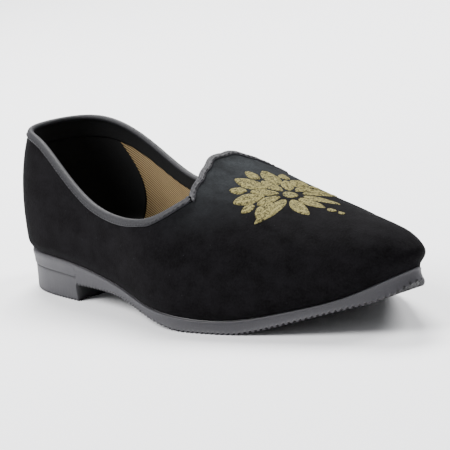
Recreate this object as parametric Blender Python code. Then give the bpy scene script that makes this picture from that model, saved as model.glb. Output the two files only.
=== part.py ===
"""Nagra shoe for the right foot: a low slip-on with a pointed, lifted toe.

Every piece is worked out from one last: an outline seen from above, heights along
the foot, and a crown that arches from side to side. Metres, +X to the toe, -Y to
the outer side of the foot, +Z up. The shoe stands on its sole at z = 0.
"""
import bpy
import numpy as np

# Driving sizes
LENGTH = 0.290
HEEL_HALF_WIDTH = 0.0315
HEEL_CURVE = 0.66
BALL_OUTSIDE = 0.0476
BALL_INSIDE = 0.0456
WALL = 0.0020
GAP = 0.0003
BINDING_WIDTH = 0.0032
BINDING_PROUD = 0.0005
BINDING_CROWN = 0.0007
INSOLE_INSET = 0.0030
INSOLE_THICK = 0.0025
FEATHER_INSET = 0.0004

# The outline of the sole's top edge: (share of LENGTH from the heel, distance to +Y)
# The point of the toe runs a little past LENGTH
OUTLINE = [
    (0.000, 0.0000),
    (0.045, -HEEL_CURVE * HEEL_HALF_WIDTH),
    (0.160, -HEEL_HALF_WIDTH),
    (0.400, -0.0386),
    (0.600, -BALL_OUTSIDE),
    (0.910, -0.0195),
    (0.9805, -0.0083),
    (1.0088, 0.0022),
    (0.9828, 0.0105),
    (0.910, 0.0222),
    (0.670, BALL_INSIDE),
    (0.420, 0.0270),
    (0.160, HEEL_HALF_WIDTH),
    (0.045, HEEL_CURVE * HEEL_HALF_WIDTH),
]

# Heights along the foot: (share of the length from mid-length, height)
FEATHER_LINE = [
    (-0.52, 0.0198),
    (-0.30, 0.0198),
    (-0.06, 0.0110),
    (0.12, 0.0062),
    (0.20, 0.0061),
    (0.32, 0.0112),
    (0.43, 0.0189),
    (0.4805, 0.0248),
    (0.514, 0.0289),
]
SOLE_BOTTOM = [
    (-0.25, 0.0088),
    (-0.06, 0.0072),
    (0.10, 0.0002),
    (0.215, -0.0001),
    (0.32, 0.0059),
    (0.43, 0.0130),
    (0.4805, 0.0174),
    (0.514, 0.0222),
]
RIDGE = [
    (-0.50, 0.0981),
    (-0.25, 0.0991),
    (-0.10, 0.0961),
    (0.076, 0.0702),
    (0.20, 0.0576),
    (0.36, 0.0491),
    (0.45, 0.0456),
    (0.53, 0.0399),
]
TOP_LINE = [
    (-0.50, 0.0812),
    (-0.36, 0.0782),
    (-0.17, 0.0530),
    (-0.02, 0.0490),
    (0.035, 0.0511),
    (0.074, 0.0559),
    (0.098, 0.0605),
]
HEEL_BREAST = -0.262 * LENGTH
BREAST_SLOPE = 0.0015

# How the wall swells above the sole, and how the crown rounds over
SWELL_SIDE = 0.0020
SWELL_TOE = 0.0030
SWELL_RISE = 0.0060
SWELL_RISE_TOE = 0.0062
SWELL_START = 0.80
CROWN_POWER = 2.1
END_POWER = 2.0
TOE_CAP = 0.0585 * LENGTH
HEEL_CAP = 0.12 * LENGTH

# The throat and the tongue's free edge, seen from above
THROAT_X = 0.0268
TONGUE_X = 0.0199
TONGUE_HALF = 0.0165
RIDGE_Y = 0.0004
SHOULDER_SHARE = 0.35

# The tongue's edge from its side to its centre: (distance ahead of TONGUE_X, share of TONGUE_HALF)
TONGUE_EDGE = [(0.0032, 1.167), (0.0013, 0.962), (0.0, 0.753), (-0.0028, 0.45), (-0.0028, 0.0)]

# The side of the sole: (share of the drop from its top edge, distance outside the outline)
SOLE_SIDE = [(0.0, 0.0002), (0.08, 0.0008), (0.45, 0.0005), (0.90, 0.0014), (1.0, 0.0012)]

# Where the wall's lines start and end: (share of the lines, share of the outline from heel to toe)
LINES_ON_OUTLINE = [(0.0, 0.0), (0.30, 0.345), (0.60, 0.715), (0.80, 0.870), (0.92, 0.957), (1.0, 1.0)]
THROAT_SHARE = 0.60
THROAT_CORNER = THROAT_SHARE / 2

OUTLINE_POINTS = 960
QUARTER_POINTS = 4000
TONGUE_POINTS = 200
SOLE_STATIONS = 48
INSOLE_STATIONS = 36
UPPER_LINES = 108
SWELL_ROWS = 4
CROWN_ROWS = 13
ROW_START = 0.12
ROW_POWER = 2.2
BINDING_ROWS = 2
END_ROOM = 0.002
EDGE_STEP = 0.0001
LEAST_LEAN = 0.6
LINE_POINTS = 160
SWELL_POINTS = 24
SHARP_ANGLE = np.radians(40)


def cubic(knots, values, at):
    """Natural cubic through (knots, values), held level beyond its ends."""
    knots = np.asarray(knots, float)
    values = np.asarray(values, float)
    step = np.diff(knots)
    count = len(knots)
    inner = np.arange(1, count - 1)
    system = np.eye(count)
    right = np.zeros(count)
    system[inner, inner - 1] = step[:-1]
    system[inner, inner] = 2 * (step[:-1] + step[1:])
    system[inner, inner + 1] = step[1:]
    right[inner] = 6 * np.diff(np.diff(values) / step)
    bend = np.linalg.solve(system, right)
    at = np.clip(np.asarray(at, float), knots[0], knots[-1])
    k = np.clip(np.searchsorted(knots, at) - 1, 0, count - 2)
    after = at - knots[k]
    before = knots[k + 1] - at
    start = (values[k] / step[k] - bend[k] * step[k] / 6) * before
    stop = (values[k + 1] / step[k] - bend[k + 1] * step[k] / 6) * after
    return (bend[k] * before**3 + bend[k + 1] * after**3) / (6 * step[k]) + start + stop


def table(rows, x):
    """A height table read at the lengthwise place x."""
    share, height = np.array(rows).T
    return cubic(share * LENGTH, height, x)


def closed_curve(points, count):
    """Closed cubic through the points, by wrapping three turns and keeping the middle one."""
    points = np.asarray(points, float)
    ring = np.vstack([points, points, points, points[:1]])
    pace = np.concatenate([[0.0], np.cumsum(np.linalg.norm(np.diff(ring, axis=0), axis=1) ** 0.5)])
    first = pace[len(points)]
    last = pace[2 * len(points)]
    at = np.linspace(first, last, count, endpoint=False)
    return np.stack([cubic(pace, ring[:, i], at) for i in range(2)], axis=1)


def travelled(path):
    """Length along a path up to each of its points."""
    return np.concatenate([[0.0], np.cumsum(np.linalg.norm(np.diff(path, axis=0), axis=1))])


def at_share(path, share):
    """Points at a share of the path's own length."""
    length = travelled(path)
    length /= length[-1]
    return np.stack([np.interp(share, length, path[:, i]) for i in range(path.shape[1])], axis=-1)


def toe_share(x):
    """0 along the foot, easing up to 1 at the toe."""
    share = np.clip((x / LENGTH + 0.5 - SWELL_START) / (1 - SWELL_START), 0, 1)
    return share**2 * (3 - 2 * share)


def swell(x):
    """How far the wall stands outside the sole's top edge: more at the toe."""
    return SWELL_SIDE + (SWELL_TOE - SWELL_SIDE) * toe_share(x)


def swell_rise(x):
    """Height of the widest line above the sole's top edge."""
    return SWELL_RISE + (SWELL_RISE_TOE - SWELL_RISE) * toe_share(x)


def two_sides(loop):
    """The loop as its outer (-1) and inner (+1) sides, each from heel back to toe tip."""
    back = int(np.argmin(loop[:, 0]))
    loop = np.roll(loop, -back, axis=0)
    tip = int(np.argmax(loop[:, 0]))
    return {-1: loop[: tip + 1], 1: np.vstack([loop[tip:], loop[:1]])[::-1]}


BASE = closed_curve([((share - 0.5) * LENGTH, y) for share, y in OUTLINE], OUTLINE_POINTS)
RUN = np.roll(BASE, -1, axis=0) - np.roll(BASE, 1, axis=0)
OUTWARD = np.stack([RUN[:, 1], -RUN[:, 0]], axis=1) / np.linalg.norm(RUN, axis=1)[:, None]
WIDEST = BASE + OUTWARD * swell(BASE[:, 0])[:, None]
FOOT = two_sides(BASE - OUTWARD * FEATHER_INSET)
SIDES = two_sides(WIDEST)
HEEL_X = WIDEST[:, 0].min()
TOE_X = WIDEST[:, 0].max()
TOE_Y = WIDEST[np.argmax(WIDEST[:, 0]), 1]


def feather(x):
    """Height of the edge where upper and sole meet."""
    return table(FEATHER_LINE, x)


def sole_bottom(x):
    """Underside of the sole: flat heel, breast, arch, flat forefoot, lifted toe."""
    arch = np.maximum(table(SOLE_BOTTOM, x), 0.0)
    return arch * np.clip((x - HEEL_BREAST) / BREAST_SLOPE, 0, 1)


def ridge_y(x):
    """Sideways place of the crown's ridge, which runs out to the toe tip."""
    share = np.clip((x - TONGUE_X) / (TOE_X - TONGUE_X), 0, 1)
    return RIDGE_Y + (TOE_Y - RIDGE_Y) * share


def half_width(x, side):
    """Distance from the ridge to the widest line on one side."""
    path = SIDES[side]
    return np.maximum(side * (np.interp(x, path[:, 0], path[:, 1]) - ridge_y(x)), 1e-6)


def end_fall(x):
    """1 along the foot, falling to 0 at the heel back and the toe tip."""
    toe = np.clip((x - (TOE_X - TOE_CAP)) / TOE_CAP, 0, 1)
    heel = np.clip((HEEL_X + HEEL_CAP - x) / HEEL_CAP, 0, 1)
    return (1 - np.maximum(toe, heel) ** END_POWER) ** (1 / END_POWER)


def crown_room(x):
    """Base height and rise of the crown at x."""
    base = feather(x) + swell_rise(x)
    return base, (table(RIDGE, x) - base) * end_fall(x)


def side_share(x, y):
    """Place from the ridge, 0, to the widest line, 1, with the width on that side."""
    across = y - ridge_y(x)
    width = np.where(across < 0, half_width(x, -1), half_width(x, 1))
    return np.abs(across) / width, np.sign(across) * width


def crown(x, y):
    """Height of the last over (x, y): a superellipse from side to side."""
    base, rise = crown_room(x)
    share = np.clip(side_share(x, y)[0], 0, 1)
    return base + rise * (1 - share**CROWN_POWER) ** (1 / CROWN_POWER)


def top_line_half(side):
    """Half of the collar seen from above: heel back, quarter, throat corner, tongue centre."""
    x = np.linspace(HEEL_X, THROAT_X, QUARTER_POINTS)
    base, rise = crown_room(x)
    share = (table(TOP_LINE, x) - base) / np.maximum(rise, 1e-6)
    x = x[share < 1]
    share = share[share < 1]
    y = ridge_y(x) + side * half_width(x, side) * (1 - share**CROWN_POWER) ** (1 / CROWN_POWER)
    quarter = np.stack([x, y], axis=1)
    quarter = np.vstack([[quarter[0, 0], 0.0], quarter])
    corner = quarter[-1]
    side_point = np.array([TONGUE_X, RIDGE_Y + side * TONGUE_HALF])
    shoulder = corner + SHOULDER_SHARE * (side_point - corner)
    edge = [(TONGUE_X + ahead, RIDGE_Y + side * share * TONGUE_HALF) for ahead, share in TONGUE_EDGE]
    plan = np.array([corner, shoulder, *edge])
    pace = travelled(plan)
    at = np.linspace(0, pace[-1], TONGUE_POINTS)
    return quarter, np.stack([cubic(pace, plan[:, i], at) for i in range(2)], axis=1)


COLLAR = {side: top_line_half(side) for side in (-1, 1)}


def line_ends(places):
    """Foot, widest point and collar point of each wall line; places run 0 to 1 round the shoe."""
    places = np.mod(places, 1.0)
    foot = np.zeros((len(places), 2))
    wide = np.zeros((len(places), 2))
    top = np.zeros((len(places), 2))
    share = 1 - np.abs(1 - 2 * places)
    on_outline = cubic(*np.array(LINES_ON_OUTLINE).T, share)
    for side, here in ((-1, places <= 0.5), (1, places > 0.5)):
        quarter, tongue = COLLAR[side]
        foot[here] = at_share(FOOT[side], on_outline[here])
        wide[here] = at_share(SIDES[side], on_outline[here])
        back = at_share(quarter, np.clip(share[here] / THROAT_SHARE, 0, 1))
        front = at_share(tongue, np.clip((share[here] - THROAT_SHARE) / (1 - THROAT_SHARE), 0, 1))
        top[here] = np.where((share[here] <= THROAT_SHARE)[:, None], back, front)
    return foot, wide, top


def wall_lines(places):
    """Fine 3-D lines from the sole's edge, out over the swell and up the crown to the collar."""
    foot, wide, top = line_ends(places)
    rise = np.linspace(0, 1, SWELL_POINTS, endpoint=False)[None, :, None]
    tucked = toe_share(foot[:, 0])[:, None, None]
    reach = (1 - tucked) * (1 - (1 - rise) ** 2) + tucked * rise**2 * (3 - 2 * rise)
    plan_low = foot[:, None] + (wide - foot)[:, None] * reach
    start = feather(foot[:, 0])[:, None] + GAP
    widest = crown_room(wide[:, 0])[0][:, None]
    z_low = start + (widest - start) * rise[..., 0]
    run = np.linspace(0, 1, LINE_POINTS)[None, :] ** 2
    x, y = np.moveaxis(wide[:, None] + (top - wide)[:, None] * run[..., None], -1, 0)
    share, width = side_share(x, y)
    top_share = side_share(top[:, 0], top[:, 1])[0][:, None]
    y = ridge_y(x) + np.minimum(share, 1 + (top_share - 1) * run) * width
    low = np.concatenate([plan_low, z_low[..., None]], axis=-1)
    high = np.stack([x, y, crown(x, y)], axis=-1)
    return np.concatenate([low, high], axis=1)


def binding_reach(places, lines):
    """Length of each line that the binding takes, so that its width is even along the collar."""
    climb = lines[:, -1] - lines[:, -2]
    climb /= np.linalg.norm(climb, axis=1)[:, None]
    lean = np.ones(len(places))
    for step in (-EDGE_STEP, EDGE_STEP):
        edge = wall_lines(np.asarray(places) + step)[:, -1] - lines[:, -1]
        edge /= np.linalg.norm(edge, axis=1)[:, None]
        lean = np.minimum(lean, np.linalg.norm(np.cross(edge, climb), axis=1))
    return BINDING_WIDTH / np.maximum(lean, LEAST_LEAN)


def read_line(line, at):
    """Points of one line at the given lengths along it."""
    length = travelled(line)
    return np.stack([np.interp(at, length, line[:, k]) for k in range(3)], axis=-1)


def upper_rows(line, reach):
    """Points up one line, with a row on the widest place and the rows above it growing apart."""
    length = travelled(line)
    widest = length[SWELL_POINTS]
    even = np.linspace(0, 1, CROWN_ROWS + 1)[1:]
    climb = ROW_START * even + (1 - ROW_START) * even**ROW_POWER
    low = np.linspace(0, widest, SWELL_ROWS + 1)
    return read_line(line, np.concatenate([low, widest + (length[-1] - reach - widest) * climb]))


def new_object(name, verts, faces, material):
    """A named, smooth-shaded object from points and faces."""
    mesh = bpy.data.meshes.new(name)
    mesh.from_pydata([tuple(v) for v in verts], [], faces)
    mesh.validate()
    mesh.shade_smooth()
    mesh.set_sharp_from_angle(angle=SHARP_ANGLE)
    mesh.materials.append(material)
    thing = bpy.data.objects.new(name, mesh)
    bpy.context.collection.objects.link(thing)
    return thing


def finish(name, colour, roughness):
    """A plain Principled material."""
    material = bpy.data.materials.new(name)
    material.use_nodes = True
    shader = material.node_tree.nodes["Principled BSDF"]
    shader.inputs["Base Color"].default_value = (*colour, 1.0)
    shader.inputs["Roughness"].default_value = roughness
    shader.inputs["Metallic"].default_value = 0.0
    return material


def ring_plan(outset, stations):
    """The outline moved outwards, as a ring of points that share x from side to side."""
    turn = np.linspace(0, np.pi, stations + 1)
    middle = 0.5 * (BASE[:, 0].max() + BASE[:, 0].min())
    half = 0.5 * np.ptp(BASE[:, 0])
    x = np.sort(np.concatenate([middle - half * np.cos(turn), [HEEL_BREAST, HEEL_BREAST + BREAST_SLOPE]]))
    sides = two_sides(BASE + OUTWARD * outset)
    reach = middle + (x - middle) * (1 + outset / half)
    outer = np.interp(reach, sides[-1][:, 0], sides[-1][:, 1])
    inner = np.interp(reach, sides[1][:, 0], sides[1][:, 1])
    ring_x = np.concatenate([reach, reach[-2:0:-1]])
    ring_y = np.concatenate([outer, inner[-2:0:-1]])
    ring_at = np.concatenate([x, x[-2:0:-1]])
    return ring_x, ring_y, ring_at


def slab(name, rings, material):
    """A closed solid from rings of equal count, top ring first, capped from side to side."""
    count = len(rings[0])
    verts = np.vstack(rings)
    here = np.arange(count)
    after = np.roll(here, -1)
    faces = []
    for row in range(len(rings) - 1):
        top = row * count
        low = top + count
        faces += [(top + a, low + a, low + b, top + b) for a, b in zip(here, after)]
    last = count // 2
    for base, turned in ((0, False), ((len(rings) - 1) * count, True)):
        for k in range(last):
            strip = [k, k + 1, (count - k - 1) % count, (count - k) % count]
            strip = list(dict.fromkeys(base + i for i in strip))
            faces.append(strip[::-1] if turned else strip)
    return new_object(name, verts, faces, material)


def make_outsole():
    """Moulded rubber sole with a lip, a flared edge, an arch and a low heel."""
    rings = []
    for share, outset in SOLE_SIDE:
        x, y, at = ring_plan(outset, SOLE_STATIONS)
        z = feather(at) + share * (sole_bottom(at) - feather(at))
        rings.append(np.stack([x, y, z], axis=1))
    return slab("outsole", rings, finish("grey_rubber", (0.085, 0.085, 0.090), 0.62))


def make_insole():
    """Thin insole lying on the sole inside the upper's wall."""
    x, y, at = ring_plan(-INSOLE_INSET, INSOLE_STATIONS)
    low = feather(at) + GAP
    rings = [np.stack([x, y, low + INSOLE_THICK], axis=1), np.stack([x, y, low], axis=1)]
    return slab("insole", rings, finish("dark_lining", (0.020, 0.019, 0.018), 0.85))


def line_places():
    """Places of the wall's lines round the shoe, with one on each throat corner."""
    places = np.arange(UPPER_LINES) / UPPER_LINES
    for place in (THROAT_CORNER, 1 - THROAT_CORNER):
        places[np.argmin(np.abs(places - place))] = place
    return places


def places_between(first, last):
    """The wall's own places inside a stretch of the collar, with the stretch's two ends."""
    turns = np.concatenate([line_places() - 1, line_places()])
    inside = turns[(turns > first + END_ROOM) & (turns < last - END_ROOM)]
    return np.concatenate([[first], inside, [last]])


def make_upper():
    """One hollow wall over the last, open at the collar and underneath."""
    places = line_places()
    lines = wall_lines(places)
    reach = binding_reach(places, lines) + GAP
    grid = np.array([upper_rows(line, end) for line, end in zip(lines, reach)])
    index = np.arange(grid.shape[0] * grid.shape[1]).reshape(grid.shape[:2])
    after = np.roll(index, -1, axis=0)
    quads = np.stack([index[:, :-1], after[:, :-1], after[:, 1:], index[:, 1:]], axis=-1).reshape(-1, 4)
    suede = finish("black_suede", (0.012, 0.012, 0.013), 0.9)
    upper = new_object("upper", grid.reshape(-1, 3), quads.tolist(), suede)
    wall = upper.modifiers.new("wall", "SOLIDIFY")
    wall.thickness = WALL
    wall.offset = -1.0
    wall.use_even_offset = True
    wall.use_quality_normals = True
    return upper


def make_binding(name, places):
    """Rolled strip over the wall's top edge, cut from the wall's own lines."""
    count = len(places)
    lines = wall_lines(places)
    back = np.linspace(1, 0, BINDING_ROWS + 1)
    reach = binding_reach(places, lines)
    grid = np.array([read_line(line, travelled(line)[-1] - end * back) for line, end in zip(lines, reach)])
    along = np.gradient(grid, axis=0)
    up = np.gradient(grid, axis=1)
    out = np.cross(along, up)
    out /= np.linalg.norm(out, axis=-1)[..., None]
    climb = up[:, -1] / np.linalg.norm(up[:, -1], axis=-1)[:, None]
    outer = grid + out * BINDING_PROUD
    inner = grid - out * (WALL + BINDING_PROUD)
    middle = 0.5 * (outer[:, -1] + inner[:, -1]) + climb * BINDING_CROWN
    loop = np.concatenate([outer, middle[:, None], inner[:, ::-1]], axis=1)
    size = loop.shape[1]
    index = np.arange(count * size).reshape(count, size)
    turned = np.roll(index, -1, axis=1)
    quads = np.stack([index[:-1], index[1:], turned[1:], turned[:-1]], axis=-1).reshape(-1, 4).tolist()
    caps = [index[0].tolist(), index[-1][::-1].tolist()]
    return new_object(name, loop.reshape(-1, 3), quads + caps, finish(name, (0.075, 0.076, 0.080), 0.5))


def main():
    """Clear the scene, make the pieces and centre the shoe over the origin."""
    for thing in list(bpy.data.objects):
        bpy.data.objects.remove(thing)
    shoe = bpy.data.objects.new("shoe", None)
    bpy.context.collection.objects.link(shoe)
    centre = 0.5 * (WIDEST.min(axis=0) + WIDEST.max(axis=0))
    shoe.location = (-centre[0], -centre[1], 0.0)
    quarter, tongue = (travelled(path)[-1] for path in COLLAR[-1])
    quarter_end = THROAT_CORNER * (1 - GAP / quarter)
    tongue_end = THROAT_CORNER + (0.5 - THROAT_CORNER) * GAP / tongue
    pieces = [
        make_outsole(),
        make_insole(),
        make_upper(),
        make_binding("quarter_binding", places_between(-quarter_end, quarter_end)),
        make_binding("tongue_binding", places_between(tongue_end, 1 - tongue_end)),
    ]
    for piece in pieces:
        piece.parent = shoe


main()
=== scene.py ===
# %% [markdown]
# # A nagra slip-on for the right foot
# A nagra is a low leather shoe with a pointed toe that lifts off the ground. This one has a
# black suede upper, a grey folded binding round its opening, a gold thread motif on the vamp
# and a grey moulded sole. The solids of the shoe are already packed. This lesson dresses them:
# each visible piece is worked out again as a fine surface over the same last.

import bmesh
import bpy
import numpy as np
from mathutils import Matrix


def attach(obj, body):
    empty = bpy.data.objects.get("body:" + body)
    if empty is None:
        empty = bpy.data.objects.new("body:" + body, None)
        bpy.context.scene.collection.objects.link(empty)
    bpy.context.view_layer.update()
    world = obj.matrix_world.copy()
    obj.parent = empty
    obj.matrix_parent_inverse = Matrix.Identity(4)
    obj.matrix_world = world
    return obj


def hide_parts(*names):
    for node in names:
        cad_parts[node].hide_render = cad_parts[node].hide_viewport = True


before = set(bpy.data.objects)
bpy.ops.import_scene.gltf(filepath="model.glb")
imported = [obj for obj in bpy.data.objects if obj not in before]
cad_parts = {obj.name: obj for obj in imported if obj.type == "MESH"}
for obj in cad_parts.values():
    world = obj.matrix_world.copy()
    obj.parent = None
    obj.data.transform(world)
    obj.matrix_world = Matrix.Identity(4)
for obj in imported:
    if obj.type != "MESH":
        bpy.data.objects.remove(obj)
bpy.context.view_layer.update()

MM = 0.001
SMALL = 1e-6

# %% [markdown]
# ## Curves through a few points
# A shoemaker draws a last with a bent spline held at a few marks. A natural cubic does the same
# in numbers: it passes through every mark and bends as little as it can between them. Two more
# helpers measure how far a path has gone, and read it at a share of its length.

# %% Smooth curves


def cubic(knots, values, at):
    """Natural cubic through the knots: bending found from one linear system, level past the ends."""
    knots = np.asarray(knots, float)
    values = np.asarray(values, float)
    step = np.diff(knots)
    count = len(knots)
    inner = np.arange(1, count - 1)
    system = np.eye(count)
    right = np.zeros(count)
    system[inner, inner - 1] = step[:-1]
    system[inner, inner] = 2 * (step[:-1] + step[1:])
    system[inner, inner + 1] = step[1:]
    right[inner] = 6 * np.diff(np.diff(values) / step)
    bend = np.linalg.solve(system, right)
    at = np.clip(np.asarray(at, float), knots[0], knots[-1])
    k = np.clip(np.searchsorted(knots, at) - 1, 0, count - 2)
    after = at - knots[k]
    before = knots[k + 1] - at
    start = (values[k] / step[k] - bend[k] * step[k] / 6) * before
    stop = (values[k + 1] / step[k] - bend[k + 1] * step[k] / 6) * after
    return (bend[k] * before**3 + bend[k + 1] * after**3) / (6 * step[k]) + start + stop


def travelled(path):
    """Length along a path up to each point: the running sum of its steps."""
    return np.concatenate([[0.0], np.cumsum(np.linalg.norm(np.diff(path, axis=0), axis=1))])


def at_share(path, share):
    """Points at a share of the path's own length, mixed between the two nearest points."""
    length = travelled(path)
    length /= length[-1]
    return np.stack([np.interp(share, length, path[:, i]) for i in range(path.shape[1])], axis=-1)


print("cubic at its middle knot:", float(cubic([0, 1, 2], [0, 1, 0], 1.0)))

# %% [markdown]
# ## The outline of the sole
# Seen from above, a right shoe swings to its inner side and comes to a point. Fourteen marks hold
# that outline, and a closed cubic joins them. The last then swells out over the sole's edge, by
# two millimetres along the foot and a little more at the toe: a second outline stands outside it.

# %% Outline
LENGTH = 0.290
# Marks round the outline from the heel back: (share of the length, distance across in metres)
OUTLINE = [
    (0.0, 0.0), (0.045, -0.02079), (0.16, -0.0315), (0.4, -0.0386), (0.6, -0.0476),
    (0.91, -0.0195), (0.9805, -0.0083), (1.0088, 0.0022), (0.9828, 0.0105), (0.91, 0.0222),
    (0.67, 0.0456), (0.42, 0.027), (0.16, 0.0315), (0.045, 0.02079),
]
OUTLINE_POINTS = 960
SWELL_SIDE = 2.0 * MM
SWELL_TOE = 3.0 * MM
SWELL_START = 0.80
FEATHER_INSET = 0.4 * MM


def closed_curve(points, count):
    """Closed cubic: three turns of the marks, paced by the root of their spacing, the middle turn kept."""
    points = np.asarray(points, float)
    ring = np.vstack([points, points, points, points[:1]])
    pace = np.concatenate([[0.0], np.cumsum(np.linalg.norm(np.diff(ring, axis=0), axis=1) ** 0.5)])
    at = np.linspace(pace[len(points)], pace[2 * len(points)], count, endpoint=False)
    return np.stack([cubic(pace, ring[:, i], at) for i in range(2)], axis=1)


def toe_share(x):
    """0 along the foot, easing up to 1 at the toe."""
    share = np.clip((x / LENGTH + 0.5 - SWELL_START) / (1 - SWELL_START), 0, 1)
    return share**2 * (3 - 2 * share)


def two_sides(loop):
    """The loop cut at heel back and toe tip: outer side (-1) and inner side (+1), heel to toe."""
    loop = np.roll(loop, -int(np.argmin(loop[:, 0])), axis=0)
    tip = int(np.argmax(loop[:, 0]))
    return {-1: loop[: tip + 1], 1: np.vstack([loop[tip:], loop[:1]])[::-1]}


BASE = closed_curve([((share - 0.5) * LENGTH, y) for share, y in OUTLINE], OUTLINE_POINTS)
RUN = np.roll(BASE, -1, axis=0) - np.roll(BASE, 1, axis=0)
OUTWARD = np.stack([RUN[:, 1], -RUN[:, 0]], axis=1) / np.linalg.norm(RUN, axis=1)[:, None]
WIDEST = BASE + OUTWARD * (SWELL_SIDE + (SWELL_TOE - SWELL_SIDE) * toe_share(BASE[:, 0]))[:, None]
FOOT = two_sides(BASE - OUTWARD * FEATHER_INSET)
SIDES = two_sides(WIDEST)
HEEL_X, TOE_X = WIDEST[:, 0].min(), WIDEST[:, 0].max()
TOE_Y = WIDEST[np.argmax(WIDEST[:, 0]), 1]
CENTRE = np.array([*(0.5 * (WIDEST.min(axis=0) + WIDEST.max(axis=0))), 0.0])
MIDDLE = 0.5 * (BASE[:, 0].max() + BASE[:, 0].min())
HALF = 0.5 * np.ptp(BASE[:, 0])
print("outline, length and width in mm:", np.round(np.ptp(BASE, axis=0) / MM, 1).tolist())

# %% [markdown]
# ## Heights along the foot
# Side on, four lines describe the shoe: the feather line where upper and sole meet, the sole's
# underside with its low heel, arch and lifted toe, the ridge of the instep, and the top line of
# the opening. Each is a short table of marks along the length.

# %% Heights
FEATHER_LINE = [
    (-0.52, 0.0198), (-0.3, 0.0198), (-0.06, 0.011), (0.12, 0.0062), (0.2, 0.0061),
    (0.32, 0.0112), (0.43, 0.0189), (0.4805, 0.0248), (0.514, 0.0289),
]
SOLE_BOTTOM = [
    (-0.25, 0.0088), (-0.06, 0.0072), (0.1, 0.0002), (0.215, -0.0001), (0.32, 0.0059),
    (0.43, 0.013), (0.4805, 0.0174), (0.514, 0.0233),
]
RIDGE = [
    (-0.5, 0.0981), (-0.25, 0.0991), (-0.1, 0.0961), (0.076, 0.0702), (0.2, 0.0576),
    (0.36, 0.0491), (0.45, 0.0456), (0.53, 0.0399),
]
TOP_LINE = [
    (-0.5, 0.0812), (-0.36, 0.0782), (-0.17, 0.053), (-0.02, 0.049), (0.035, 0.0511),
    (0.074, 0.0559), (0.098, 0.0605),
]
HEEL_BREAST = -0.262 * LENGTH
BREAST_SLOPE = 1.5 * MM
SWELL_RISE = 6.0 * MM
SWELL_RISE_TOE = 6.2 * MM


def table(rows, x):
    """A table of (share of the length from mid-length, height), read at x by the cubic."""
    share, height = np.array(rows).T
    return cubic(share * LENGTH, height, x)


def feather(x):
    """Height of the line where upper and sole meet."""
    return table(FEATHER_LINE, x)


def sole_bottom(x):
    """Underside of the sole: the table, never below the floor, flat behind the heel's front edge."""
    arch = np.maximum(table(SOLE_BOTTOM, x), 0.0)
    return arch * np.clip((x - HEEL_BREAST) / BREAST_SLOPE, 0, 1)


print("toe lift of the sole in mm:", round(float(sole_bottom(BASE[:, 0].max())) / MM, 1))

# %% [markdown]
# ## The crown of the last
# Across the foot the last is an arch: steep at its sides and round on top. A superellipse with a
# power just over 2 gives that arch from the widest line on one side to the other. At the heel
# back and the toe tip the arch falls away along a quarter ellipse, which closes the form.

# %% Crown
CROWN_POWER = 2.1
END_POWER = 2.0
TOE_CAP = 0.0585 * LENGTH
HEEL_CAP = 0.12 * LENGTH
TONGUE_X = 0.0199
RIDGE_Y = 0.0004


def ridge_y(x):
    """Sideways place of the ridge: straight from the tongue to the toe tip."""
    return RIDGE_Y + (TOE_Y - RIDGE_Y) * np.clip((x - TONGUE_X) / (TOE_X - TONGUE_X), 0, 1)


def half_width(x, side):
    """Distance from the ridge to the widest line on one side."""
    path = SIDES[side]
    return np.maximum(side * (np.interp(x, path[:, 0], path[:, 1]) - ridge_y(x)), SMALL)


def crown_room(x):
    """Base height of the arch and its rise, with the rise falling to 0 at both ends."""
    base = feather(x) + SWELL_RISE + (SWELL_RISE_TOE - SWELL_RISE) * toe_share(x)
    toe = np.clip((x - (TOE_X - TOE_CAP)) / TOE_CAP, 0, 1)
    heel = np.clip((HEEL_X + HEEL_CAP - x) / HEEL_CAP, 0, 1)
    fall = (1 - np.maximum(toe, heel) ** END_POWER) ** (1 / END_POWER)
    return base, (table(RIDGE, x) - base) * fall


def side_share(x, y):
    """Place from the ridge, 0, to the widest line, 1, and the signed width on that side."""
    across = y - ridge_y(x)
    width = np.where(across < 0, half_width(x, -1), half_width(x, 1))
    return np.abs(across) / width, np.sign(across) * width


def crown(x, y):
    """Height over (x, y): base plus rise times the superellipse of the side share."""
    base, rise = crown_room(x)
    share = np.clip(side_share(x, y)[0], 0, 1)
    return base + rise * (1 - share**CROWN_POWER) ** (1 / CROWN_POWER)


print("height at the tongue in mm:", round(float(crown(np.array(TONGUE_X), np.array(RIDGE_Y))) / MM, 1))

# %% [markdown]
# ## The opening
# The opening runs round the heel along the top line, comes forward to a corner at the throat,
# and turns back along the edge of a short tongue. Seen from above it is two halves. The quarter
# half is where the arch meets the top line's height, and the tongue half is a small table.

# %% Opening
THROAT_X = 0.0268
TONGUE_HALF = 0.0165
SHOULDER_SHARE = 0.35
# Edge of the tongue: (distance ahead of its middle in metres, share of its half width)
TONGUE_EDGE = [(0.0032, 1.167), (0.0013, 0.962), (0.0, 0.753), (-0.0028, 0.45), (-0.0028, 0.0)]
QUARTER_STEPS = 4000
TONGUE_STEPS = 200


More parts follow.
